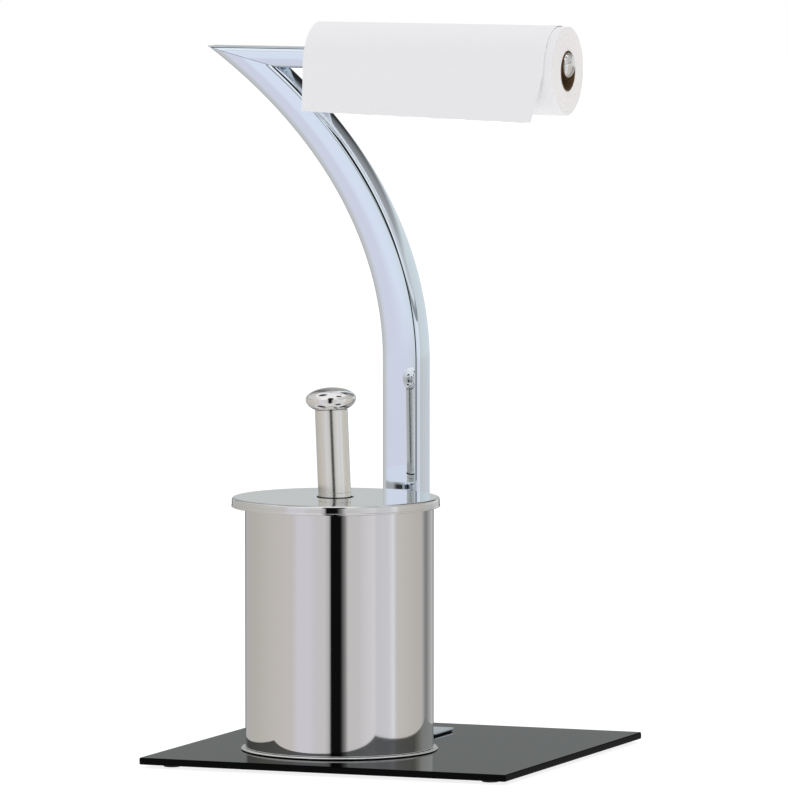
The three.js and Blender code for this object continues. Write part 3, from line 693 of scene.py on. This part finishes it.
cup_low, cup_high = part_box("inner_cup")
CUP_RADIUS, CUP_WALL, CUP_TAPER = 0.077, 0.0016, 0.001
CUP_FLANGE, FLANGE_THICKNESS, CUP_SOLE = 0.0016, 0.002, 0.004
black_plastic = plastic("black_plastic", (0.012, 0.012, 0.013), (0.03, 0.03, 0.03), 0.42, 0.18, 0.00003)
cup_inner = CUP_RADIUS - CUP_WALL
flange_low = cup_high.z - FLANGE_THICKNESS
cup_profile = eased(
    [(0, cup_low.z), (CUP_RADIUS - 0.003, cup_low.z), (CUP_RADIUS - CUP_TAPER, cup_low.z + CUP_SOLE),
     (CUP_RADIUS, flange_low), (CUP_RADIUS + CUP_FLANGE, flange_low),
     (CUP_RADIUS + CUP_FLANGE, cup_high.z), (cup_inner, cup_high.z),
     (cup_inner - CUP_TAPER, cup_low.z + CUP_SOLE), (cup_inner - 0.003, cup_low.z + CUP_WALL),
     (0, cup_low.z + CUP_WALL)],
    [0, 0.001, 0.002, 0.0003, 0.0004, 0.0005, 0.0005, 0.001, 0.001, 0])
cup = turned("drip_cup", cup_profile, can_foot, count=128)
fit(cup, black_plastic, "cup", "black_plastic", "inner_cup")

# ---- lid -------------------------------------------------------------------------------------
# A lid spun from the same stainless sheet, with a rolled bead along the lower edge of its skirt and
# a round hole with a rubber grommet for the brush. A plastic ring underneath centres it in the can.

lid_low, lid_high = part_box("lid")
LID_X, LID_RADIUS = (lid_low.x + lid_high.x) / 2, 0.0901
LID_WALL, LID_HOLE, LID_EDGE = 0.0011, 0.0158, 0.0024
LID_TOP, SKIRT = lid_high.z, lid_low.z
lid_inner = LID_RADIUS - LID_WALL
bead_radius = LID_RADIUS + 0.0003
lid_profile = eased(
    [(LID_HOLE, LID_TOP - LID_WALL), (LID_HOLE, LID_TOP), (LID_RADIUS, LID_TOP),
     (LID_RADIUS, SKIRT + 0.0017), (bead_radius, SKIRT + 0.0013), (bead_radius, SKIRT),
     (lid_inner, SKIRT), (lid_inner, LID_TOP - LID_WALL)],
    [0.0002, 0.0005, LID_EDGE, 0.0002, 0.0003, 0.0005, 0.0002, 0.0012], closed=True, steps=10)
lid = turned("lid_spun_cover", lid_profile, (LID_X, CAN_Y, 0), count=192, ring=True)
fit(lid, polished_steel, "lid", "polished_steel", "lid")

ring_low, ring_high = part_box("lid_locating_ring")
RING_INNER, RING_FOOT, RING_OUTER, RING_CHAMFER = 0.070, 0.074, 0.075, 0.0054
ring_profile = eased(
    [(RING_INNER, ring_low.z), (RING_FOOT, ring_low.z), (RING_OUTER, ring_low.z + RING_CHAMFER),
     (RING_OUTER, ring_high.z), (RING_INNER, ring_high.z)], 0.0006, closed=True)
lid_ring = turned("lid_centring_ring", ring_profile, (LID_X, CAN_Y, 0), count=128, ring=True)
fit(lid_ring, black_plastic, "lid", "black_plastic", "lid_locating_ring")

BRUSH_X = GLASS_MID_X - 0.0367
GROMMET_INNER, GROMMET_OUTER, GROMMET_FLANGE = 0.0147, 0.0156, 0.0172
grommet_top, flange_top, flange_low = LID_TOP + 0.0005, LID_TOP - 0.0013, LID_TOP - 0.0024
grommet_profile = eased(
    [(GROMMET_INNER, flange_low), (GROMMET_FLANGE, flange_low), (GROMMET_FLANGE, flange_top),
     (GROMMET_OUTER, flange_top), (GROMMET_OUTER, grommet_top), (GROMMET_INNER, grommet_top)],
    0.0002, closed=True)
grommet = turned("lid_hole_grommet", grommet_profile, (BRUSH_X, CAN_Y, 0), count=96, ring=True)
grommet.data.materials.append(rubber)
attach(grommet, "lid")

# ---- brush handle ----------------------------------------------------------------------------
# A chromed tube with a mushroom knob pressed into its top. A shallow groove marks the ferrule where
# it passes through the lid, and the whole brush leans a little to the left.

HANDLE_LEAN = math.radians(2.4)
HANDLE_RADIUS, HANDLE_WALL = 0.0142, 0.001
HANDLE_BELOW, KNOB_BOTTOM, KNOB_TOP, KNOB_RADIUS = 0.024, 0.076, 0.095, 0.0218
GROOVE_RISE, HANDLE_GROOVE = 0.0038, 0.0005
brush_axis = (-math.sin(HANDLE_LEAN), 0, math.cos(HANDLE_LEAN))
brush_foot = (BRUSH_X, CAN_Y, LID_TOP)
tube_chrome = metal("handle_chrome", (0.84, 0.82, 0.78), 0.20, 0.05, 20.0, 0.00001)
tube_top = KNOB_BOTTOM - 0.0003
handle_bore = HANDLE_RADIUS - HANDLE_WALL
tube_profile = eased(
    [(HANDLE_RADIUS, -HANDLE_BELOW), (HANDLE_RADIUS, GROOVE_RISE - 0.0002),
     (HANDLE_RADIUS - HANDLE_GROOVE, GROOVE_RISE), (HANDLE_RADIUS, GROOVE_RISE + 0.0002),
     (HANDLE_RADIUS, tube_top), (handle_bore, tube_top), (handle_bore, -HANDLE_BELOW)],
    [0.0003, 0.0001, 0.00012, 0.0001, 0.0003, 0.0003, 0.0003], closed=True)
handle = turned("handle_tube_chromed", tube_profile, brush_foot, brush_axis, ring=True)
fit(handle, tube_chrome, "brush", "chrome", "handle_tube")

equator = KNOB_BOTTOM + 0.48 * (KNOB_TOP - KNOB_BOTTOM)
under_knob = arc((0, equator), (KNOB_RADIUS, 1.27 * (equator - KNOB_BOTTOM)), -52, 0, 20)
over_knob = arc((0, equator), (KNOB_RADIUS, KNOB_TOP - equator), 0, 90, 30)[1:]
neck = handle_bore - 0.0003
neck_top = under_knob[0, 1]
stub = eased([(0, neck_top - 0.009), (neck, neck_top - 0.009), (neck, neck_top)], [0, 0.0005, 0])
knob = turned("handle_mushroom_knob", np.vstack([stub, under_knob, over_knob]), brush_foot, brush_axis)
fit(knob, bright_chrome, "brush", "chrome", "handle_knob")

# ---- brush inside the can --------------------------------------------------------------------
# A plastic plug closes the tube and grips the white rod. The rod carries a moulded stock with rings
# of nylon tufts, whose tips make a round-ended barrel.

BORE, ROD_RADIUS = 0.0063, 0.006
PLUG_NOSE, NOSE_RADIUS, NOSE_BASE, PLUG_IN_TUBE = 0.006, 0.009, HANDLE_RADIUS - 0.001, 0.014
plug_low = -HANDLE_BELOW - 0.0003
plug_profile = eased(
    [(BORE, plug_low - PLUG_NOSE), (NOSE_RADIUS, plug_low - PLUG_NOSE), (NOSE_BASE, plug_low - 0.001),
     (NOSE_BASE, plug_low), (neck, plug_low), (neck, -HANDLE_BELOW + PLUG_IN_TUBE),
     (BORE, -HANDLE_BELOW + PLUG_IN_TUBE)], [0, 0.001, 0.0005, 0, 0, 0.0005, 0], closed=True)
plug = turned("handle_tube_plug", plug_profile, brush_foot, brush_axis, count=64, ring=True)
fit(plug, black_plastic, "brush", "black_plastic", "handle_plug")

white_plastic = plastic("white_plastic", (0.78, 0.78, 0.75), (0.68, 0.67, 0.63), 0.35, 0.2, 0.00002)
HEAD_TOP, HEAD_BOTTOM, STOCK_RADIUS = -0.104, -0.206, 0.009
rod_low, rod_high = HEAD_TOP - 0.014, -HANDLE_BELOW + 0.012
rod_profile = eased([(0, rod_low), (ROD_RADIUS, rod_low), (ROD_RADIUS, rod_high), (0, rod_high)],
                    [0, 0.0006, 0.0006, 0])
rod = turned("brush_white_rod", rod_profile, brush_foot, brush_axis, count=48)
fit(rod, white_plastic, "brush", "white_plastic", "brush_rod")

stock_low, socket_low = HEAD_BOTTOM + 0.030, rod_low - 0.0003
stock_profile = eased(
    [(0, stock_low), (STOCK_RADIUS - 0.002, stock_low), (STOCK_RADIUS, stock_low + 0.004),
     (STOCK_RADIUS, HEAD_TOP), (BORE, HEAD_TOP), (BORE, socket_low), (0, socket_low)],
    [0, 0.001, 0.001, 0.001, 0.0004, 0, 0])
stock = turned("brush_moulded_stock", stock_profile, brush_foot, brush_axis, count=48)
fit(stock, white_plastic, "brush", "white_plastic", "brush_stock")

BRISTLE_RADIUS = 0.041
TUFT_RINGS, TUFTS_ROUND, FIBRES, FIBRE_HALF = 12, 16, 9, 0.00042
chance = np.random.default_rng(7)
counted = np.meshgrid(
    np.arange(TUFT_RINGS), np.arange(TUFTS_ROUND), np.arange(FIBRES), indexing="ij")
ring_number, tuft_number = counted[:2]
ring_share = ring_number.ravel() / (TUFT_RINGS - 1)
tuft_turn = (tuft_number.ravel() + 0.5 * (ring_number.ravel() % 2)) * 2 * math.pi / TUFTS_ROUND
loose = chance.uniform(-1, 1, (3, ring_share.size))
root_height = HEAD_BOTTOM + 0.036 + ring_share * 0.052 + 0.0008 * loose[0]
tip_height = HEAD_BOTTOM + 0.012 + ring_share ** 1.1 * 0.080 + 0.0035 * loose[0]
barrel = np.minimum(1, 0.62 + 1.3 * ring_share)
tip_radius = BRISTLE_RADIUS * barrel * (0.985 + 0.015 * loose[2]) - 0.0005
root_turn = tuft_turn + 0.05 * loose[1]
tip_turn = tuft_turn + 0.16 * loose[1]


def fibre_points():
    """Four-sided fibres, root to tip.

    The centre goes from the stock's skin to the tip by a share s: radius and turn change evenly, and
    height by s squared, so a fibre leaves square to the stock and curves to its tip. Round it
    stand four corners at a half thickness that falls to a third at the tip.
    """
    share = np.linspace(0, 1, 6)[None, :, None]
    radius = STOCK_RADIUS - 0.001 + share * (tip_radius[:, None, None] - STOCK_RADIUS + 0.001)
    turn = root_turn[:, None, None] + share * (tip_turn - root_turn)[:, None, None]
    rise = root_height[:, None, None] + share ** 2 * (tip_height - root_height)[:, None, None]
    corner = (np.arange(4) * math.pi / 2)[None, None, :]
    thick = FIBRE_HALF * (1 - 0.67 * share)
    sideways = thick * np.cos(corner)
    upward = thick * np.sin(corner)
    x = radius * np.cos(turn) - sideways * np.sin(turn)
    y = radius * np.sin(turn) + sideways * np.cos(turn)
    return np.stack([x, y, rise + upward], axis=-1)


local = fibre_points()
lean = np.array([[math.cos(HANDLE_LEAN), 0, -math.sin(HANDLE_LEAN)], [0, 1, 0],
                 [math.sin(HANDLE_LEAN), 0, math.cos(HANDLE_LEAN)]])
placed = local @ lean.T + np.array(brush_foot)
fibres, rings, sides = placed.shape[:3]
number = np.arange(fibres * rings * sides).reshape(fibres, rings, sides)
wrap = np.roll(number, -1, axis=2)
quads = np.stack([number[:, :-1], wrap[:, :-1], wrap[:, 1:], number[:, 1:]], axis=-1).reshape(-1, 4)
tips = np.concatenate([number[:, 0, ::-1], number[:, -1]])
fibre_mesh = bpy.data.meshes.new("brush_nylon_tufts")
fibre_mesh.from_pydata(placed.reshape(-1, 3).tolist(), [], quads.tolist() + tips.tolist())
fibre_mesh.shade_smooth()
fibre_mesh.set_sharp_from_angle(angle=math.radians(60))
tufts = scene_object("brush_nylon_tufts", fibre_mesh)
nylon = plastic("bristle_nylon", (0.86, 0.86, 0.84), (0.74, 0.73, 0.70), 0.45, 0.2, 0.00001)
fit(tufts, nylon, "brush", "bristle_fibre", "bristles")

# ---- cardboard core --------------------------------------------------------------------------
# A tube wound from grey-brown card in a spiral, whose seam shows as a slanting line inside. The
# paper is wound on it, and it hangs loosely on the spindle.

core_low, core_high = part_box("cardboard_core")
ROLL_Z = (core_low.z + core_high.z) / 2
ROLL_START, ROLL_LENGTH = core_low.x, core_high.x - core_low.x
CORE_INNER, CORE_OUTER = 0.0165, 0.0176
core_profile = eased(
    [(CORE_INNER, 0), (CORE_OUTER, 0), (CORE_OUTER, ROLL_LENGTH), (CORE_INNER, ROLL_LENGTH)],
    0.0003, closed=True)
core = turned("core_spiral_tube", core_profile, (ROLL_START, POST_Y, ROLL_Z), axis=(1, 0, 0), ring=True)
SPIRAL_PITCH = 0.075
cardboard = finish("cardboard", Roughness=0.9)
tree = cardboard.node_tree
spot = node(tree, "TexCoord").outputs["Object"]
centred = node(tree, "Mapping", {"Vector": spot, "Location": (0, -POST_Y, -ROLL_Z)})
apart = node(tree, "SeparateXYZ", {"Vector": centred.outputs[0]})
round_it = maths(tree, "ARCTAN2", apart.outputs["Y"], apart.outputs["Z"])
advance = maths(tree, "MULTIPLY", apart.outputs["X"], 2 * math.pi / SPIRAL_PITCH)
from_seam = maths(tree, "PINGPONG", maths(tree, "ADD", advance, round_it), math.pi)
off_seam = between(tree, from_seam, 0.0, 0.12)
pulp = noise(tree, spot, 500.0, 6.0)
flecks = ramp(tree, pulp, [(0.3, (0.10, 0.055, 0.022)), (0.7, (0.20, 0.125, 0.058))])
wired(cardboard, Base_Color=mixed(tree, off_seam, (0.05, 0.028, 0.012, 1), flecks),
      Normal=bumped(tree, maths(tree, "ADD", pulp, off_seam), 0.0001))
fit(core, cardboard, "roll", "cardboard", "cardboard_core")

# ---- paper roll ------------------------------------------------------------------------------
# White two-ply paper wound on the core. The side is slightly uneven and embossed all over; the cut
# ends show the edges of the layers as fine rings.

# Paper tissue: quilted embossing from the cloth map, fibres and a faint mottle.
tissue, given, result = group(
    "paper_tissue", {"Quilt": 0.008, "Depth": 1.0}, {"Height": "Float", "Mottle": "Float"})
sheet_map = node(tissue, "TexCoord").outputs["UV"]
apart = node(tissue, "SeparateXYZ", {"Vector": sheet_map})
turn_scale = maths(tissue, "DIVIDE", 2 * math.pi, given.outputs["Quilt"])
slants = [maths(tissue, how, apart.outputs["X"], apart.outputs["Y"]) for how in ("ADD", "SUBTRACT")]
waves = [maths(tissue, "SINE", maths(tissue, "MULTIPLY", slant, turn_scale)) for slant in slants]
pillows = maths(tissue, "ABSOLUTE", maths(tissue, "MULTIPLY", *waves))
pillows = maths(tissue, "MULTIPLY", pillows, given.outputs["Depth"])
strands = noise(tissue, sheet_map, 900.0, 5.0)
lumpy = maths(tissue, "ADD", pillows, maths(tissue, "MULTIPLY", strands, 0.5))
uneven = noise(tissue, sheet_map, 55.0, 3.0)
tissue.links.new(maths(tissue, "ADD", lumpy, uneven), result.inputs["Height"])
tissue.links.new(strands, result.inputs["Mottle"])


def tissue_paper(name, light, dark, depth):
    """Soft white paper: embossed from the tissue group, with a mottle between two whites."""
    made = finish(name, Roughness=0.95, Specular_IOR_Level=0.2, Sheen_Weight=0.15)
    tree = made.node_tree
    marks = node(tree, "Group", {"Quilt": 0.009, "Depth": 0.8}, node_tree=tissue)
    tint = ramp(tree, marks.outputs["Mottle"], [(0.3, dark), (0.65, light)])
    return wired(made, Base_Color=tint, Normal=bumped(tree, marks.outputs["Height"], depth))


# The profile runs along the side, in over the right end, back through the hole and out over the
# left end. The ends ripple by two sines of the radius, and the side wobbles by two of the angle.
ROLL_RADIUS, ROLL_EDGE, END_SET_IN = 0.039, 0.0008, 0.0003
HOLE_RADIUS = CORE_OUTER + 0.0003
ROUND_COUNT, SIDE_ROWS, END_ROWS, HOLE_ROWS = 144, 60, 44, 6
roll_angle = np.arange(ROUND_COUNT) * 2 * math.pi / ROUND_COUNT
side_x = np.linspace(ROLL_EDGE, ROLL_LENGTH - ROLL_EDGE, SIDE_ROWS)
end_r = np.linspace(ROLL_RADIUS - ROLL_EDGE, HOLE_RADIUS, END_ROWS)
rings = end_r * 2 * math.pi
ripple = 0.00016 * np.sin(rings / 0.0024) + 0.00012 * np.sin(rings / 0.0061 + 1.0)
ripple[[0, -1]] = 0
hole_x = np.linspace(ROLL_LENGTH - 0.004, 0.004, HOLE_ROWS)
radius_rows = np.concatenate([
    np.full(SIDE_ROWS, ROLL_RADIUS), end_r, np.full(HOLE_ROWS, HOLE_RADIUS), end_r[::-1]])
x_rows = np.concatenate([side_x, ROLL_LENGTH - END_SET_IN + ripple, hole_x, END_SET_IN - ripple[::-1]])
wobble = 0.00012 * np.sin(3 * roll_angle + 0.7) + 0.00009 * np.sin(7 * roll_angle)
worn_in = np.clip((radius_rows - CORE_OUTER) / (ROLL_RADIUS - CORE_OUTER), 0, 1)[:, None]
radius_grid = radius_rows[:, None] + worn_in * (wobble[None] - 0.0002)
x_grid = np.broadcast_to(ROLL_START + x_rows[:, None], radius_grid.shape)
y_grid = POST_Y + radius_grid * np.cos(roll_angle)
roll_points = np.stack([x_grid, y_grid, ROLL_Z + radius_grid * np.sin(roll_angle)], axis=-1)
steps_along = np.linalg.norm(np.diff(np.stack([radius_rows, x_rows], axis=1), axis=0), axis=1)
down_rows = np.concatenate([[0], np.cumsum(steps_along), [np.sum(steps_along) + 0.001]])
round_rows = np.arange(ROUND_COUNT + 1) * 2 * math.pi / ROUND_COUNT * ROLL_RADIUS
roll = skin("paper_roll_wound", roll_points, ring=True, cloth=(down_rows, round_rows))
roll_paper = tissue_paper("roll_paper", (0.90, 0.89, 0.90), (0.86, 0.85, 0.86), 0.00012)
tree = roll_paper.node_tree
spot = node(tree, "TexCoord").outputs["Object"]
centred = node(tree, "Mapping", {"Vector": spot, "Location": (0, -POST_Y, -ROLL_Z)})
flat_spot = node(tree, "VectorMath", {0: centred.outputs[0], 1: (0.0, 1.0, 1.0)}, operation="MULTIPLY")
from_axis = node(tree, "VectorMath", {0: flat_spot.outputs[0]}, operation="LENGTH").outputs["Value"]
LAYER_LINES = 0.0011
layer = maths(tree, "MULTIPLY", from_axis, 2 * math.pi / LAYER_LINES)
layer = maths(tree, "ADD", layer, maths(tree, "MULTIPLY", noise(tree, spot, 45.0, 2.0), 9))
layer_line = maths(tree, "ADD", maths(tree, "MULTIPLY", maths(tree, "SINE", layer), 0.5), 0.5)
on_side = between(tree, from_axis, ROLL_RADIUS - 0.0012, ROLL_RADIUS - 0.0006)
end_tint = ramp(tree, layer_line, [(0.0, (0.84, 0.815, 0.795)), (0.6, (0.94, 0.915, 0.90))])
side_tint = tree.nodes["Principled BSDF"].inputs["Base Color"].links[0].from_socket
wired(roll_paper, Base_Color=mixed(tree, on_side, end_tint, side_tint))
fit(roll, roll_paper, "roll", "paper", "paper_roll")

# ---- loose sheet -----------------------------------------------------------------------------
# The roll's outermost ply: it lies round the back and over the top, then hangs down in front with a
# slanting torn edge, a little to the left of the rest. It is one thin sheet of the same paper.

SHEET_THICKNESS = 0.0003
SHEET_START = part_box("loose_sheet")[0].x
SHEET_RADIUS = ROLL_RADIUS + 0.0001 + SHEET_THICKNESS / 2
DROP_LEFT, DROP_RIGHT, FLARE, DRAWN_IN = 0.0375, 0.0435, 0.003, 0.011
TUCK = math.radians(38)
across_share = np.linspace(0, 1, 120)[None, :]
lay_turn = np.linspace(-TUCK, math.pi, 90)[:, None]
hang_share = np.linspace(0, 1, 40)[1:, None]


def sheet_face(offset):
    """Points of one face of the sheet, `offset` outside its middle.

    Laid part: radius * (cos a, sin a) round the roll, from the tuck behind to the front; the radius
    eases down to the roll at the tuck. Hung part: straight down by the drop, which grows evenly to
    the right, with a flare by the square of the share and shallow waves that grow towards the edge.
    """
    settle = np.clip((lay_turn + TUCK) / TUCK, 0, 1)
    radius = SHEET_RADIUS - 0.0002 * (1 - settle) + offset
    laid_x = np.broadcast_to(across_share, (len(lay_turn), across_share.size)) * ROLL_LENGTH
    laid_y = np.broadcast_to(radius * np.cos(lay_turn), laid_x.shape)
    laid_z = np.broadcast_to(radius * np.sin(lay_turn), laid_x.shape)
    drop = DROP_LEFT + (DROP_RIGHT - DROP_LEFT) * across_share
    torn = 0.0003 * np.sin(across_share * 61) * np.sin(across_share * 23 + 1) * hang_share ** 8
    hung_x = across_share * (ROLL_LENGTH - DRAWN_IN * hang_share)
    hung_z = -drop * hang_share + torn
    wave = 0.0005 * np.sin(across_share * 9.5 + 0.8)
    wave = wave + 0.0002 * np.sin(across_share * 21 + hang_share * 2)
    hung_y = -(SHEET_RADIUS + offset) - FLARE * hang_share ** 2 - wave * hang_share ** 1.5
    points = np.stack(
        [np.vstack([laid_x, hung_x]), np.vstack([laid_y, hung_y]), np.vstack([laid_z, hung_z])], axis=-1)
    return points + np.array([SHEET_START, POST_Y, ROLL_Z])


outer_face, inner_face = sheet_face(SHEET_THICKNESS / 2), sheet_face(-SHEET_THICKNESS / 2)
sheet_points = np.concatenate([outer_face, inner_face[:, ::-1]], axis=1)
along_sheet = np.concatenate([
    (lay_turn[:, 0] + TUCK) * SHEET_RADIUS,
    (math.pi + TUCK) * SHEET_RADIUS + hang_share[:, 0] * DROP_RIGHT])
one_way = across_share[0] * ROLL_LENGTH
across_sheet = np.concatenate([one_way, one_way[::-1] + 2 * ROLL_LENGTH, [3 * ROLL_LENGTH]])
sheet = skin("paper_loose_end", sheet_points, ends="thin", cloth=(along_sheet, across_sheet), crease=50)
sheet_paper = tissue_paper("sheet_paper", (0.90, 0.895, 0.91), (0.87, 0.865, 0.88), 0.0001)
fit(sheet, sheet_paper, "loose_end", "paper", "loose_sheet")
